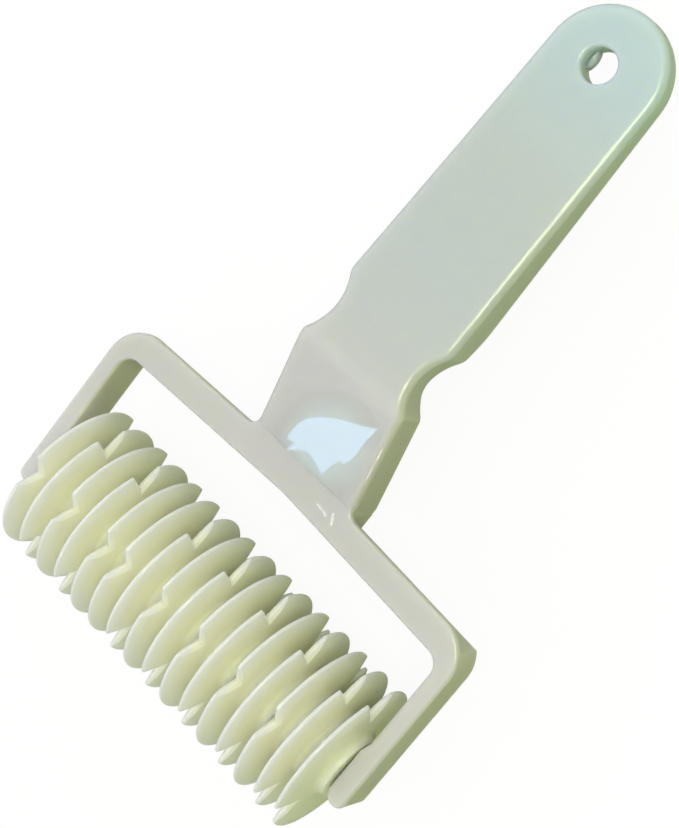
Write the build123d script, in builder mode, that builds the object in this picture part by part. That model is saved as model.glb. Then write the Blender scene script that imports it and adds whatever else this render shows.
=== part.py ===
from build123d import *
from math import acos, atan2, cos, hypot, radians, sin, tan
import os

os.makedirs("parts", exist_ok=True)

# Lattice roller cutter: a forked plastic handle that holds a row of notched cutting discs.
# Units are millimetres. The origin is the middle of the footprint, at the height the discs
# roll on. X runs along the roller, Y towards the tip of the handle, Z up.
# Lengths along Y and heights along Z are given from the axis of the roller.

# Roller
disc_count = 16
disc_pitch = 6.69
rim_radius = 21.4
rim_half = 0.5
bevel_depth = 4.45
bevel_start_half = 1.05
bevel_mid_depth = 2.3
bevel_mid_half = 0.86
web_root_half = 1.35
web_root_fillet_share = 0.96
hub_radius = 8.8
hub_gap = 0.06
roller_shift = 0.35
notch_count = 3
notch_depth = 6.0
notch_half_angle = 38.0
notch_corner_fillet = 0.7
notch_edge_half = 0.28
notch_bevel_angle = 45.0
phase_near = 26.0
phase_far = 86.0
last_disc_turn = -7.0
near_phase_discs = (2, 4, 7, 9, 11, 13, 15, 16)

# Axle
hex_flats = 8.0
hex_clearance = 0.05
hex_overhang = 0.1
journal_radius = 2.5
journal_clearance = 0.05
journal_length = 3.2
socket_end_gap = 0.4
pad_height = 0.98
pad_reach = 7.1
pad_ramp = 3.3

# Yoke, seen from above
roller_side_room = 1.73
arm_thickness = 4.55
arm_reach_past_axis = 7.3
arm_outer_end_fillet = 2.2
arm_inner_end_fillet = 2.9
bar_front_mid = 38.4
bar_front_end = 35.8
bar_wall = 4.5
bar_back_mid = 46.1
bar_back_end = 43.5
bar_outer_fillet = 10.0
bar_wall_fillet = 2.8
bar_inner_fillet = 4.0
bar_mid_fillet = 60.0
undercut_start = 33.0
undercut_margin = 7.0
undercut_to_neck = 0.45

# Yoke, heights
arm_top = 6.1
arm_bottom = -6.4
flange_thickness = 2.0
yoke_top_fillet = 0.8
yoke_bottom_fillet = 0.55

# Neck and grip, seen from above
tip_reach = 175.4
neck_start = 40.0
neck_start_half = 16.6
neck_root_inset = 0.2
neck_root_fillet = 2.55
scallop_start = 74.6
scallop_start_half = 16.55
scallop_mid = 82.4
scallop_mid_half = 13.5
scallop_end = 91.4
scallop_end_half = 16.3
scallop_start_fillet = 3.0
scallop_end_fillet = 4.6
tip_radius = 14.9

# Neck and grip, seen from the side
slope_start = 47.0
under_start = 49.4
slope_rise = 0.5
crown_at = 74.9
crown_height = 20.0
crown_fillet = 15.8
profile_margin = 3.0
top_mid_share = 0.45
top_mid_height = 16.0
tip_top_height = 12.0
neck_seat_height = 5.2
under_crown_at = 81.5
under_crown_height = 11.45
under_crown_fillet = 7.0
under_settle_at = 98.0
under_settle_height = 6.1
under_settle_fillet = 15.0
tip_under_height = 5.7
grip_top_fillet = 1.8
grip_under_fillet = 0.9

# Hollow under the neck and grip
skin = 2.7
side_wall = 2.6
rib_thickness = 2.4
core_start = 43.4
core_end_inset = 25.1
core_end_height = 10.8
core_end_fillet = 5.0
seat_skin_share = 0.25
slope_skin_share = 1.08

# Hanging hole
hole_inset = 14.5
hole_off_centre = -1.1
hole_radius = 4.15
hole_rim_fillet = 0.95

# Share of a face's direction that has to point up or down to count as top or underside
facing_share = 0.6

# Sizes that follow from the ones above
axis_y = (rim_radius - tip_reach) / 2
axis_z = rim_radius
hub_half = (disc_pitch - hub_gap) / 2
roller_half = disc_count * disc_pitch / 2 - hub_gap / 2
web_root_fillet = (hub_half - web_root_half) * web_root_fillet_share
shoulder = roller_half + hex_overhang
fork_inner_half = disc_count * disc_pitch / 2 + roller_side_room
fork_half = fork_inner_half + arm_thickness
pad_face = fork_inner_half - pad_height
neck_root_half = neck_start_half - neck_root_inset
bar_back_at_root = bar_back_mid - (bar_back_mid - bar_back_end) * neck_root_half / fork_half
undercut_near = neck_root_half + undercut_to_neck
undercut_near_wall = (
    bar_front_mid + bar_wall - (bar_front_mid - bar_front_end) * undercut_near / fork_half
)
socket_bottom = shoulder + roller_shift + journal_length + socket_end_gap
hole_at = tip_reach - hole_inset
core_end = tip_reach - core_end_inset
top_mid_at = crown_at + (tip_reach - crown_at) * top_mid_share
profile_end = tip_reach + profile_margin
grip_length = tip_reach - tip_radius - scallop_end
grip_taper = acos(tip_radius / hypot(scallop_end_half, grip_length)) - atan2(
    grip_length, scallop_end_half
)
tip_join_half = tip_radius * cos(grip_taper)
tip_join_at = tip_reach - tip_radius + tip_radius * sin(grip_taper)
slope_low_at = slope_start - (arm_top - neck_seat_height) / slope_rise

# Planes through the roller axis
plan = Plane((0, axis_y, axis_z))
side = Plane(origin=(0, axis_y, axis_z), x_dir=(0, 1, 0), z_dir=(1, 0, 0))
roller_axis = Axis((0, axis_y, axis_z), (1, 0, 0))


def rim_of(faces):
    """Edges that belong to only one of the given faces."""
    edges = [edge for face in faces for edge in face.edges()]
    return [edge for edge in edges if sum(edge.is_same(other) for other in edges) == 1]


def behind(edges, y):
    """Edges whose middle lies further towards the tip than y."""
    return [edge for edge in edges if edge.center().Y > axis_y + y]


def corners(sketch, x, y):
    """The two corners of a fork outline at x and at -x."""
    points = [Vector(x, y), Vector(-x, y)]
    return [sketch.vertices().sort_by_distance(point)[0] for point in points]


def grip_outline(inset, start, end):
    """Neck, finger scallops and grip, seen from above, drawn inset by a wall."""
    with BuildLine() as outline:
        for hand in (1, -1):
            Polyline(
                (0, start),
                (hand * (neck_start_half - inset), start),
                (hand * (scallop_start_half - inset), scallop_start),
            )
            ThreePointArc(
                (hand * (scallop_start_half - inset), scallop_start),
                (hand * (scallop_mid_half - inset), scallop_mid),
                (hand * (scallop_end_half - inset), scallop_end),
            )
            Line(
                (hand * (scallop_end_half - inset), scallop_end),
                (hand * (tip_join_half - inset), end),
            )
    return outline.line


# Fork: two arms, each with a raised pad for the roller's end, and an arched crossbar. Behind
# the crossbar's front wall only a thin flange reaches back, so it is an angle in section.
with BuildPart() as yoke:
    with BuildSketch(plan.offset(arm_bottom)) as fork:
        with BuildLine():
            Polyline(
                (0, under_start),
                (neck_root_half, under_start),
                (neck_root_half, bar_back_at_root),
                (fork_half, bar_back_end),
                (fork_half, -arm_reach_past_axis),
                (pad_face, -arm_reach_past_axis),
                (pad_face, pad_reach),
                (fork_inner_half, pad_reach + pad_ramp),
                (fork_inner_half, bar_front_end),
                (0, bar_front_mid),
                (-fork_inner_half, bar_front_end),
                (-fork_inner_half, pad_reach + pad_ramp),
                (-pad_face, pad_reach),
                (-pad_face, -arm_reach_past_axis),
                (-fork_half, -arm_reach_past_axis),
                (-fork_half, bar_back_end),
                (-neck_root_half, bar_back_at_root),
                (-neck_root_half, under_start),
                (0, under_start),
            )
        make_face()
        fillet(corners(fork, neck_root_half, bar_back_at_root), neck_root_fillet)
        fillet(corners(fork, fork_half, bar_back_end), bar_outer_fillet)
        fillet(corners(fork, fork_inner_half, bar_front_end), bar_inner_fillet)
        fillet(corners(fork, fork_half, -arm_reach_past_axis), arm_outer_end_fillet)
        fillet(corners(fork, pad_face, -arm_reach_past_axis), arm_inner_end_fillet)
        fillet(corners(fork, 0, bar_front_mid)[:1], bar_mid_fillet)
    extrude(amount=arm_top - arm_bottom)
    fillet(rim_of(yoke.faces().sort_by(Axis.Z)[-1:]), yoke_top_fillet)
    with BuildSketch(plan.offset(arm_bottom)) as undercut:
        for hand in (1, -1):
            with BuildLine():
                Polyline(
                    (hand * undercut_near, bar_back_mid + undercut_margin),
                    (hand * undercut_near, undercut_near_wall),
                    (hand * fork_half, bar_front_end + bar_wall),
                    (hand * fork_half, undercut_start),
                    (hand * (fork_half + undercut_margin), undercut_start),
                    (hand * (fork_half + undercut_margin), bar_back_mid + undercut_margin),
                    (hand * undercut_near, bar_back_mid + undercut_margin),
                )
            make_face()
        fillet(corners(undercut, fork_half, bar_front_end + bar_wall), bar_wall_fillet)
    extrude(amount=arm_top - arm_bottom - flange_thickness, mode=Mode.SUBTRACT)
    fillet(rim_of(yoke.faces().sort_by(Axis.Z)[:1]), yoke_bottom_fillet)

# Neck and grip: the outline from above, cut to the outline from the side
with BuildPart() as grip:
    with BuildSketch(plan.offset(arm_bottom)) as grip_plan:
        with BuildLine():
            add(grip_outline(0, neck_start, tip_join_at))
            ThreePointArc(
                (tip_join_half, tip_join_at),
                (0, tip_reach),
                (-tip_join_half, tip_join_at),
            )
        make_face()
        fillet(corners(grip_plan, scallop_start_half, scallop_start), scallop_start_fillet)
        fillet(corners(grip_plan, scallop_end_half, scallop_end), scallop_end_fillet)
    extrude(amount=crown_height - arm_bottom)
    with BuildSketch(side) as profile:
        with BuildLine():
            Polyline(
                (slope_low_at, neck_seat_height),
                (neck_start, neck_seat_height),
                (neck_start, arm_bottom),
                (under_start, arm_bottom),
                (under_crown_at, under_crown_height),
                (under_settle_at, under_settle_height),
                (profile_end, tip_under_height),
                (profile_end, tip_top_height),
            )
            ThreePointArc(
                (profile_end, tip_top_height),
                (top_mid_at, top_mid_height),
                (crown_at, crown_height),
            )
            Line((crown_at, crown_height), (slope_low_at, neck_seat_height))
        make_face()
        fillet(corners(profile, crown_at, crown_height)[:1], crown_fillet)
        fillet(corners(profile, under_crown_at, under_crown_height)[:1], under_crown_fillet)
        fillet(corners(profile, under_settle_at, under_settle_height)[:1], under_settle_fillet)
    extrude(amount=neck_start_half * 2, both=True, mode=Mode.INTERSECT)
    crown = grip.faces().filter_by(lambda face: face.normal_at().Z > facing_share)
    fillet(behind(rim_of(crown), slope_low_at), grip_top_fillet)
    belly = grip.faces().filter_by(lambda face: face.normal_at().Z < -facing_share)
    fillet(behind(rim_of(belly), under_start), grip_under_fillet)

# Two long pockets under the neck and grip, one on each side of a middle rib
with BuildPart() as pockets:
    with BuildSketch(plan.offset(arm_bottom)) as pocket_plan:
        with BuildLine():
            add(grip_outline(side_wall, core_start, core_end))
            Line(
                (tip_join_half - side_wall, core_end),
                (side_wall - tip_join_half, core_end),
            )
        make_face()
        fillet(
            corners(pocket_plan, scallop_start_half - side_wall, scallop_start),
            scallop_start_fillet,
        )
        fillet(
            corners(pocket_plan, scallop_end_half - side_wall, scallop_end),
            scallop_end_fillet,
        )
        fillet(corners(pocket_plan, tip_join_half - side_wall, core_end), core_end_fillet)
        Rectangle(rib_thickness, tip_reach * 2, mode=Mode.SUBTRACT)
    extrude(amount=crown_height - arm_bottom)
    with BuildSketch(side) as pocket_side:
        with BuildLine():
            Polyline(
                (core_end, core_end_height),
                (core_end, arm_bottom),
                (core_start, arm_bottom),
                (core_start, arm_top - skin),
                (slope_start + skin * seat_skin_share, arm_top - skin),
                (crown_at, crown_height - skin * slope_skin_share),
            )
            ThreePointArc(
                (core_end, core_end_height),
                (top_mid_at, top_mid_height - skin),
                (crown_at, crown_height - skin * slope_skin_share),
            )
        make_face()
        fillet(
            corners(pocket_side, crown_at, crown_height - skin * slope_skin_share)[:1],
            crown_fillet,
        )
    extrude(amount=neck_start_half * 2, both=True, mode=Mode.INTERSECT)

# The whole handle is one moulding: fork, neck and grip, hanging hole and axle sockets
with BuildPart() as handle_frame:
    add(yoke.part)
    add(grip.part)
    add(pockets.part, mode=Mode.SUBTRACT)
    with BuildSketch(plan.offset(crown_height)) as hanging_hole:
        with Locations((hole_off_centre, hole_at)):
            Circle(hole_radius)
    extrude(amount=-crown_height, mode=Mode.SUBTRACT)
    rims = handle_frame.edges(Select.LAST).filter_by(Axis.Z, reverse=True)
    fillet(rims, hole_rim_fillet)
    for hand in (1, -1):
        with BuildSketch(side.offset(hand * socket_bottom)):
            Circle(journal_radius + journal_clearance)
        extrude(amount=-hand * (socket_bottom - shoulder), mode=Mode.SUBTRACT)
handle_frame.part.label = "handle_frame"
export_step(handle_frame.part, "parts/handle_frame.step")

# Axle: a hexagon that keys the discs, with a round journal at each end
with BuildPart() as axle:
    with BuildSketch(side.offset(roller_shift - shoulder)) as hexagon:
        RegularPolygon(hex_flats / 2, 6, major_radius=False)
    extrude(amount=shoulder * 2)
    with BuildSketch(side.offset(roller_shift - shoulder - journal_length)) as journal:
        Circle(journal_radius)
    extrude(amount=(shoulder + journal_length) * 2)
axle.part.label = "axle"
export_step(axle.part, "parts/axle.step")


def outside_of(sketch, radius):
    """Corners of a sketch that lie further out than a radius."""
    return [v for v in sketch.vertices() if v.center().length > radius]


# Cutting discs: a bevelled blade with three notches, on a hub as wide as the pitch. The walls
# of the notches are bevelled from a narrow edge in the middle of the blade to its faces.
# Neighbouring discs are keyed so that their notches lie between each other.
for number in range(1, disc_count + 1):
    middle = roller_shift + disc_pitch * (number - (disc_count + 1) / 2)
    phase = phase_near if number in near_phase_discs else phase_far
    if number == disc_count:
        phase = phase + last_disc_turn
    with BuildPart() as disc:
        with BuildSketch(side.offset(middle)) as blade_plan:
            Circle(rim_radius)
            with PolarLocations(rim_radius - notch_depth, notch_count, start_angle=phase):
                Polygon(
                    (0, 0),
                    (notch_depth, notch_depth * tan(radians(notch_half_angle))),
                    (notch_depth, -notch_depth * tan(radians(notch_half_angle))),
                    align=None,
                    mode=Mode.SUBTRACT,
                )
            rim_corners = outside_of(blade_plan, rim_radius - notch_depth / 2)
            fillet(rim_corners, notch_corner_fillet)
        extrude(amount=hub_half, both=True)
        with BuildSketch(Plane((middle, axis_y, axis_z))) as blade_section:
            with BuildLine():
                for hand in (1, -1):
                    Polyline(
                        (0, 0),
                        (hand * hub_half, 0),
                        (hand * hub_half, hub_radius),
                        (hand * web_root_half, hub_radius),
                        (hand * bevel_start_half, rim_radius - bevel_depth),
                    )
                    ThreePointArc(
                        (hand * bevel_start_half, rim_radius - bevel_depth),
                        (hand * bevel_mid_half, rim_radius - bevel_mid_depth),
                        (hand * rim_half, rim_radius - rim_half),
                    )
                ThreePointArc(
                    (rim_half, rim_radius - rim_half),
                    (0, rim_radius),
                    (-rim_half, rim_radius - rim_half),
                )
            make_face()
            fillet(corners(blade_section, web_root_half, hub_radius), web_root_fillet)
        revolve(axis=roller_axis, mode=Mode.INTERSECT)
        for hand in (1, -1):
            with BuildSketch(side.offset(middle + hand * notch_edge_half)) as notch_bevel:
                with PolarLocations(rim_radius - notch_depth, notch_count, start_angle=phase):
                    Polygon(
                        (0, 0),
                        (notch_depth, notch_depth * tan(radians(notch_half_angle))),
                        (notch_depth, -notch_depth * tan(radians(notch_half_angle))),
                        align=None,
                    )
            extrude(amount=hand * web_root_half, taper=-notch_bevel_angle, mode=Mode.SUBTRACT)
        with BuildSketch(side.offset(middle)) as key:
            RegularPolygon(hex_flats / 2 + hex_clearance, 6, major_radius=False)
        extrude(amount=hub_half, both=True, mode=Mode.SUBTRACT)
    name = f"disc_{number:02d}"
    disc.part.label = name
    export_step(disc.part, f"parts/{name}.step")
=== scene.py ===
import math

import bmesh
import bpy
from mathutils import Matrix, Vector


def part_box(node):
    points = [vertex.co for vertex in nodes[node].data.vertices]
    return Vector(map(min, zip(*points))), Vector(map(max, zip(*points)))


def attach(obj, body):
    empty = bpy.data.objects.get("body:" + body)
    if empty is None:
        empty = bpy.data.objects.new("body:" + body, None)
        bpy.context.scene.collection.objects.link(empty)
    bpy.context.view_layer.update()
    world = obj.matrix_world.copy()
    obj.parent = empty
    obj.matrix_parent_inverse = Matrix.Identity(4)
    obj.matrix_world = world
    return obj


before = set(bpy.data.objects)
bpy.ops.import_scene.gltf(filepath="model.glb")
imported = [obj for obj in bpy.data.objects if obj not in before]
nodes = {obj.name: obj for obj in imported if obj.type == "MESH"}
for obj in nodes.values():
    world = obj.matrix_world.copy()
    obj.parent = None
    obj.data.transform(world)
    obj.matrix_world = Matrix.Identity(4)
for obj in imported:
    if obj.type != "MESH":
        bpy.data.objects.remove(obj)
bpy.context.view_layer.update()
DISCS = sorted(name for name in nodes if name.startswith("disc_"))

# The roller's axis runs along X. Y runs towards the handle's tip, Z up. Metres.
axle_low, axle_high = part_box("axle")
AXIS_Y = (axle_low.y + axle_high.y) / 2
AXIS_Z = (axle_low.z + axle_high.z) / 2

WHITE = (1.0, 1.0, 1.0, 1.0)


def tree_of(material):
    """Node tree and shader of a new material."""
    material.use_nodes = True
    tree = material.node_tree
    return tree, tree.nodes["Principled BSDF"]


def add(tree, kind, **values):
    """A node with its settings and unlinked inputs filled in."""
    node = tree.nodes.new(kind)
    for key, value in values.items():
        if key in node.inputs:
            node.inputs[key].default_value = value
        else:
            setattr(node, key, value)
    return node


def fill(node, **values):
    """Sets inputs by name. Underscores stand for spaces."""
    for key, value in values.items():
        node.inputs[key.replace("_", " ")].default_value = value


def mix(tree, factor, first, second, blend="MIX"):
    """A colour mix. factor, first and second are sockets or plain values."""
    node = add(tree, "ShaderNodeMix", data_type="RGBA", blend_type=blend)
    sockets = (node.inputs["Factor"], node.inputs[6], node.inputs[7])
    for socket, value in zip(sockets, (factor, first, second)):
        if hasattr(value, "node"):
            tree.links.new(value, socket)
        else:
            socket.default_value = value
    return node.outputs[2]


def srgb(red, green, blue):
    """Linear colour of a screen colour given from 0 to 255."""
    parts = []
    for value in (red, green, blue):
        value /= 255
        parts.append(value / 12.92 if value <= 0.04045 else ((value + 0.055) / 1.055) ** 2.4)
    return (*parts, 1.0)


def ramp(tree, value, low, high, at_low=0.0, at_high=1.0):
    """at_low below low, at_high above high, smooth between."""
    node = add(tree, "ShaderNodeMapRange", interpolation_type="SMOOTHSTEP")
    fill(node, From_Min=low, From_Max=high, To_Min=at_low, To_Max=at_high)
    tree.links.new(value, node.inputs["Value"])
    return node.outputs["Result"]


def noise(tree, coords, scale, detail):
    """Soft noise from 0 to 1 in the object's own coordinates."""
    node = add(tree, "ShaderNodeTexNoise", Scale=scale, Detail=detail, Roughness=0.5)
    tree.links.new(coords, node.inputs["Vector"])
    return node.outputs["Fac"]


def plastic_bump(tree, shader, coords, scale, strength):
    """Very shallow unevenness of a moulded surface."""
    height = noise(tree, coords, scale, 3.0)
    bump = add(tree, "ShaderNodeBump", Strength=strength, Distance=0.0001)
    tree.links.new(height, bump.inputs["Height"])
    tree.links.new(bump.outputs["Normal"], shader.inputs["Normal"])


# Handle: glossy off-white, with a painted tint of the surrounding light: warmer at the yoke,
# cooler along the grip, bluish at the tip.
# Places along the handle are measured from the roller's axis.
YOKE_LIGHT_TINTED_COLOUR = srgb(200, 198, 197)
GRIP_LIGHT_TINTED_COLOUR = srgb(191, 198, 198)
TIP_LIGHT_TINTED_COLOUR = srgb(190, 208, 212)
GRIP_FROM, GRIP_FULL = 0.060, 0.105
TIP_FROM, TIP_FULL = 0.125, 0.172


def handle_material():
    material = bpy.data.materials.new("handle_plastic")
    tree, shader = tree_of(material)
    coords = add(tree, "ShaderNodeTexCoord").outputs["Object"]
    place = add(tree, "ShaderNodeSeparateXYZ")
    tree.links.new(coords, place.inputs["Vector"])
    # The yoke, grip and tip colours are the off-white plastic with a painted tint of the
    # surrounding light
    along = ramp(tree, place.outputs["Y"], AXIS_Y + GRIP_FROM, AXIS_Y + GRIP_FULL)
    colour = mix(tree, along, YOKE_LIGHT_TINTED_COLOUR, GRIP_LIGHT_TINTED_COLOUR)
    far = ramp(tree, place.outputs["Y"], AXIS_Y + TIP_FROM, AXIS_Y + TIP_FULL)
    colour = mix(tree, far, colour, TIP_LIGHT_TINTED_COLOUR)
    clouds = noise(tree, coords, 28.0, 2.0)
    patch = ramp(tree, clouds, 0.35, 0.7)
    faint = mix(tree, patch, WHITE, (0.985, 0.995, 0.97, 1.0))
    colour = mix(tree, 1.0, colour, faint, "MULTIPLY")
    tree.links.new(colour, shader.inputs["Base Color"])
    rough = add(tree, "ShaderNodeMapRange")
    fill(rough, To_Min=0.30, To_Max=0.38)
    tree.links.new(clouds, rough.inputs["Value"])
    tree.links.new(rough.outputs["Result"], shader.inputs["Roughness"])
    fill(shader, Subsurface_Weight=1.0, Subsurface_Radius=(1.0, 1.0, 0.5), Subsurface_Scale=0.008)
    fill(shader, Coat_Weight=0.8, Coat_Roughness=0.013)
    plastic_bump(tree, shader, coords, 120.0, 0.25)
    return material


# Discs and axle: cream deep in, paler towards the rim. The cream is a painted yellow glow of light
# shining through and bouncing between the blades.
CORE_GLOW_COLOUR = srgb(250, 248, 226)
RIM_COLOUR = srgb(236, 238, 232)
RIM_FROM_SHARE, RIM_FULL_SHARE = 0.72, 0.985


def disc_material(name, rim_radius):
    material = bpy.data.materials.new(name)
    tree, shader = tree_of(material)
    coords = add(tree, "ShaderNodeTexCoord").outputs["Object"]
    centred = add(tree, "ShaderNodeVectorMath", operation="MULTIPLY_ADD")
    tree.links.new(coords, centred.inputs[0])
    centred.inputs[1].default_value = (0.0, 1.0, 1.0)
    centred.inputs[2].default_value = (0.0, -AXIS_Y, -AXIS_Z)
    length = add(tree, "ShaderNodeVectorMath", operation="LENGTH")
    tree.links.new(centred.outputs["Vector"], length.inputs[0])
    rim_from = rim_radius * RIM_FROM_SHARE
    # Painted glow: the cream deep in the blades stands for light through and between them, and
    # fades to the plain rim colour
    out = ramp(tree, length.outputs["Value"], rim_from, rim_radius * RIM_FULL_SHARE)
    colour = mix(tree, out, CORE_GLOW_COLOUR, RIM_COLOUR)
    clouds = noise(tree, coords, 60.0, 2.0)
    faint = mix(tree, clouds, WHITE, (0.98, 0.985, 0.95, 1.0))
    colour = mix(tree, 1.0, colour, faint, "MULTIPLY")
    tree.links.new(colour, shader.inputs["Base Color"])
    fill(shader, Roughness=0.34, Coat_Weight=0.4, Coat_Roughness=0.08)
    fill(shader, Subsurface_Weight=1.0, Subsurface_Radius=(1.0, 0.95, 0.7), Subsurface_Scale=0.006)
    plastic_bump(tree, shader, coords, 160.0, 0.2)
    return material


def dress(obj, material):
    obj.data.materials.clear()
    obj.data.materials.append(material)


handle_plastic = handle_material()
disc_low, disc_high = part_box("disc_08")
disc_radius = (disc_high.z - disc_low.z) / 2
disc_plastic = disc_material("disc_plastic", disc_radius)
axle_plastic = disc_material("axle_plastic", disc_radius)

dress(nodes["handle_frame"], handle_plastic)
dress(nodes["axle"], axle_plastic)
for name in DISCS:
    dress(nodes[name], disc_plastic)


def new_object(name, corners, faces):
    mesh = bpy.data.meshes.new(name)
    mesh.from_pydata(corners, [], faces)
    obj = bpy.data.objects.new(name, mesh)
    bpy.context.scene.collection.objects.link(obj)
    return obj


# Moulding vestige on the wall of the hanging hole
HOLE_X = -0.0011
HOLE_Y = AXIS_Y + 0.1609
HOLE_RADIUS = 0.00415
NUB_HALF_ANGLE = math.radians(34)
NUB_OUT = 0.0015
NUB_SINK = 0.0004
NUB_LOW = AXIS_Z + 0.0062
NUB_HIGH = AXIS_Z + 0.0092
NUB_STEPS = 12
# Share of the nub's height, and how far it stands out there
NUB_LEVEL_SHARES = ((0.0, 0.7), (0.2, 1.0), (0.8, 1.0), (1.0, 0.7))


def hole_nub():
    """A smooth bump that hugs the hole's wall on its -X side."""
    mesh = bpy.data.meshes.new("hole_nub")
    bm = bmesh.new()
    rings = []
    for share, reach in NUB_LEVEL_SHARES:
        z = NUB_LOW + (NUB_HIGH - NUB_LOW) * share

        def corner(radius, angle):
            x = HOLE_X + radius * math.cos(angle)
            return bm.verts.new((x, HOLE_Y + radius * math.sin(angle), z))

        inner, outer = [], []
        for i in range(NUB_STEPS + 1):
            turn = -1 + 2 * i / NUB_STEPS
            angle = math.pi + turn * NUB_HALF_ANGLE
            depth = NUB_OUT * reach * (1 - turn * turn) ** 0.5
            inner.append(corner(HOLE_RADIUS - depth, angle))
            outer.append(corner(HOLE_RADIUS + NUB_SINK, angle))
        rings.append(inner + outer[::-1])
    for low, high in zip(rings, rings[1:]):
        for i in range(len(low)):
            j = (i + 1) % len(low)
            bm.faces.new((low[i], low[j], high[j], high[i]))
    bm.faces.new(rings[0][::-1])
    bm.faces.new(rings[-1])
    bmesh.ops.recalc_face_normals(bm, faces=bm.faces)
    bm.to_mesh(mesh)
    bm.free()
    obj = bpy.data.objects.new("hole_nub", mesh)
    bpy.context.scene.collection.objects.link(obj)
    dress(obj, handle_plastic)
    for polygon in mesh.polygons:
        polygon.use_smooth = True
    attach(obj, "frame")


hole_nub()

# Camera: fitted to the photograph
camera_data = bpy.data.cameras.new("camera")
camera_data.sensor_width = 36.0
camera_data.lens = 83.144
camera_data.clip_start = 0.01
camera_data.clip_end = 20.0
camera = bpy.data.objects.new("camera", camera_data)
bpy.context.scene.collection.objects.link(camera)
right = Vector((0.678006, 0.600169, -0.424389))
up = Vector((-0.644536, 0.762983, 0.049293))
back = Vector((0.353386, 0.240112, 0.904137))
camera_matrix = Matrix((right, up, back)).transposed().to_4x4()
camera_matrix.translation = Vector((0.156624, AXIS_Y + 0.169041, AXIS_Z + 0.409135))
camera.matrix_world = camera_matrix
bpy.context.scene.camera = camera

# Light: a studio sky, darker towards +X, one large front lamp and three weak low ones
SKY_COLOUR = (0.84, 0.82, 1.0, 1.0)
DARK_SIDE_COLOUR = (0.10, 0.13, 0.05, 1.0)
SKY_STRENGTH = 0.97
LAMPS = (
    # name, diameter, place, target, watts, colour
    ("soft_front", 0.6, (0.42, 0.24, 1.15), (0.0, -0.05, 0.02), 7.2, (0.92, 1.0, 0.50)),
    ("soft_low", 0.9, (-0.25, -0.85, 1.15), (0.0, -0.03, 0.02), 1.0, (1.0, 0.98, 0.95)),
    ("low_right", 0.07, (0.93, -1.15, 0.22), (0.0, -0.08, 0.02), 0.7, (1.0, 1.0, 0.9)),
    ("low_back", 0.07, (1.05, 0.95, 0.25), (0.0, -0.08, 0.02), 0.7, (1.0, 1.0, 0.9)),
)


def studio_sky():
    world = bpy.data.worlds.new("studio")
    bpy.context.scene.world = world
    world.use_nodes = True
    tree = world.node_tree
    sky = tree.nodes["Background"]
    direction = add(tree, "ShaderNodeSeparateXYZ")
    generated = add(tree, "ShaderNodeTexCoord").outputs["Generated"]
    tree.links.new(generated, direction.inputs["Vector"])
    side = ramp(tree, direction.outputs["X"], 0.1, 0.75)
    tint = mix(tree, side, SKY_COLOUR, DARK_SIDE_COLOUR)
    tree.links.new(tint, sky.inputs["Color"])
    fill(sky, Strength=SKY_STRENGTH)
    white = add(tree, "ShaderNodeBackground", Color=WHITE, Strength=1.0)
    path = add(tree, "ShaderNodeLightPath")
    choose = add(tree, "ShaderNodeMixShader")
    tree.links.new(path.outputs["Is Camera Ray"], choose.inputs["Fac"])
    tree.links.new(sky.outputs["Background"], choose.inputs[1])
    tree.links.new(white.outputs["Background"], choose.inputs[2])
    tree.links.new(choose.outputs["Shader"], tree.nodes["World Output"].inputs["Surface"])


def lamp(name, size, place, target, power, colour):
    data = bpy.data.lights.new(name, "AREA")
    data.shape = "DISK"
    data.size = size
    data.energy = power
    data.color = colour
    obj = bpy.data.objects.new(name, data)
    bpy.context.scene.collection.objects.link(obj)
    obj.location = place
    obj.rotation_mode = "QUATERNION"
    obj.rotation_quaternion = (Vector(target) - Vector(place)).to_track_quat("-Z", "Y")
    obj.visible_camera = False


studio_sky()
for values in LAMPS:
    lamp(*values)

# A far window that the neck's slope mirrors as a ragged bright patch, and two slits that the
# crossbar's flat top mirrors. Their corners are marked where the photograph shows them, in
# pixels from its top left.
PHOTO_WIDTH, PHOTO_HEIGHT = 679, 828
WINDOW_MARKS = (
    (295.8, 424.9), (307.4, 416.6), (319.8, 414.5), (329.8, 414.5), (346.3, 417.8),
    (362.9, 423.2), (379.9, 426.5), (374.5, 433.2), (367.1, 439.0), (362.1, 447.3),
    (357.1, 453.9), (351.3, 459.7), (344.7, 461.4), (341.4, 457.2), (333.1, 463.8),
    (323.9, 472.1), (319.8, 463.0), (313.2, 453.1), (309.0, 448.1), (299.1, 447.4),
    (287.9, 447.7), (296.6, 440.6), (294.1, 437.3), (289.0, 435.7),
)
SLIT_MARKS = (
    ((315.5, 503.5), (319.5, 504.0), (327.5, 516.0), (325.0, 516.5)),
    ((331.8, 513.0), (334.8, 513.5), (332.0, 526.5), (329.2, 526.0)),
)
SLOPE_FOOT = Vector((0.0, AXIS_Y + 0.047, AXIS_Z + 0.0061))
SLOPE_RISE = 0.5
SLOPE_NORMAL = Vector((0.0, -SLOPE_RISE, 1.0)).normalized()
FLAT_NORMAL = Vector((0.0, 0.0, 1.0))
PANE_DISTANCE = 1.2
NECK_PATCH = Vector((0.0, AXIS_Y + 0.058, AXIS_Z + 0.012))
VEIL_BEHIND = 0.02
VEIL_SIDES = 48
VEIL_INNER = 0.020
VEIL_OUTER = 0.048


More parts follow.
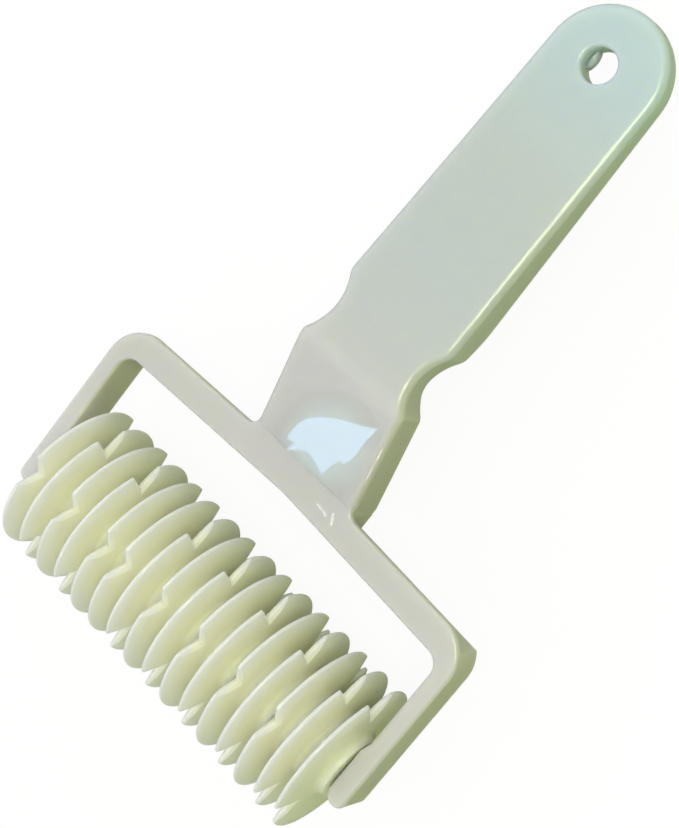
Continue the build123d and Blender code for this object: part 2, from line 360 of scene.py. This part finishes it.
def mirrored_pane(marks, normal):
    """A far pane that shows at the marks, mirrored in a flat face through SLOPE_FOOT."""
    eye = camera_matrix.translation
    focal = camera_data.lens / camera_data.sensor_width * PHOTO_HEIGHT
    places, ways = [], []
    for across, down in marks:
        sideways = right * (across - PHOTO_WIDTH / 2) - up * (down - PHOTO_HEIGHT / 2)
        sight = (sideways - back * focal).normalized()
        places.append(eye + sight * ((SLOPE_FOOT - eye).dot(normal) / sight.dot(normal)))
        ways.append(sight - normal * (2 * sight.dot(normal)))
    away = sum(ways, Vector()).normalized()
    centre = sum(places, Vector()) / len(places) + away * PANE_DISTANCE
    return [
        place + way * ((centre - place).dot(away) / way.dot(away))
        for place, way in zip(places, ways)
    ]


def veil_outline(window):
    """A round pane behind the window, square to the line from the neck."""
    centre = sum(window, Vector()) / len(window)
    away = (centre - NECK_PATCH).normalized()
    turn = away.to_track_quat("Z", "Y")
    centre += away * VEIL_BEHIND
    corners = []
    for i in range(VEIL_SIDES):
        angle = 2 * math.pi * i / VEIL_SIDES
        spoke = Vector((VEIL_OUTER * math.cos(angle), VEIL_OUTER * math.sin(angle), 0.0))
        corners.append(centre + turn @ spoke)
    return corners, centre


def glowing(name, faces, colour, strength, fade_from=None):
    """Far bright panes that only show where the glossy handle mirrors them."""
    corners, polygons = [], []
    for face in faces:
        polygons.append(tuple(range(len(corners), len(corners) + len(face))))
        corners.extend(face)
    obj = new_object(name, corners, polygons)
    material = bpy.data.materials.new(name)
    tree, shader = tree_of(material)
    tree.nodes.remove(shader)
    glow = add(tree, "ShaderNodeEmission", Color=colour, Strength=strength)
    tree.links.new(glow.outputs["Emission"], tree.nodes["Material Output"].inputs["Surface"])
    if fade_from:
        apart = add(tree, "ShaderNodeVectorMath", operation="DISTANCE")
        tree.links.new(add(tree, "ShaderNodeTexCoord").outputs["Object"], apart.inputs[0])
        apart.inputs[1].default_value = fade_from
        level = ramp(tree, apart.outputs["Value"], VEIL_INNER, VEIL_OUTER, strength, 0.0)
        tree.links.new(level, glow.inputs["Strength"])
    dress(obj, material)
    obj.visible_camera = False
    obj.visible_shadow = False


window = mirrored_pane(WINDOW_MARKS, SLOPE_NORMAL)
slits = [mirrored_pane(marks, FLAT_NORMAL) for marks in SLIT_MARKS]
veil, veil_centre = veil_outline(window)
glowing("window", (window,), (0.35, 0.68, 1.0, 1.0), 10.2)
glowing("window_slits", slits, (0.85, 1.0, 0.95, 1.0), 9.0)
glowing("window_veil", (veil,), (0.30, 0.95, 1.0, 1.0), 2.8, veil_centre)

# Floor: pale, and plain white to the camera apart from the object's soft shadow
FLOOR_HALF = 3.0
FLOOR_DROP = 0.0002
FLOOR_COLOUR = (0.40, 0.45, 0.28, 1.0)
FLOOR_PLAIN_SHARE = 0.92


def studio_floor():
    corners = [
        (-FLOOR_HALF, -FLOOR_HALF, 0), (FLOOR_HALF, -FLOOR_HALF, 0),
        (FLOOR_HALF, FLOOR_HALF, 0), (-FLOOR_HALF, FLOOR_HALF, 0),
    ]
    floor = new_object("floor", corners, [(0, 1, 2, 3)])
    floor.location.z = -FLOOR_DROP
    material = bpy.data.materials.new("floor")
    tree, shader = tree_of(material)
    fill(shader, Base_Color=FLOOR_COLOUR, Roughness=0.9, Specular_IOR_Level=0.0)
    lit = add(tree, "ShaderNodeBsdfDiffuse", Color=WHITE)
    glow = add(tree, "ShaderNodeEmission", Color=WHITE, Strength=1.0)
    seen = add(tree, "ShaderNodeMixShader", Fac=FLOOR_PLAIN_SHARE)
    tree.links.new(lit.outputs["BSDF"], seen.inputs[1])
    tree.links.new(glow.outputs["Emission"], seen.inputs[2])
    path = add(tree, "ShaderNodeLightPath")
    either = add(tree, "ShaderNodeMath", operation="MAXIMUM")
    tree.links.new(path.outputs["Is Camera Ray"], either.inputs[0])
    tree.links.new(path.outputs["Is Transmission Ray"], either.inputs[1])
    choose = add(tree, "ShaderNodeMixShader")
    tree.links.new(either.outputs["Value"], choose.inputs["Fac"])
    tree.links.new(shader.outputs["BSDF"], choose.inputs[1])
    tree.links.new(seen.outputs["Shader"], choose.inputs[2])
    tree.links.new(choose.outputs["Shader"], tree.nodes["Material Output"].inputs["Surface"])
    dress(floor, material)


studio_floor()

bpy.context.scene.view_settings.view_transform = "Standard"
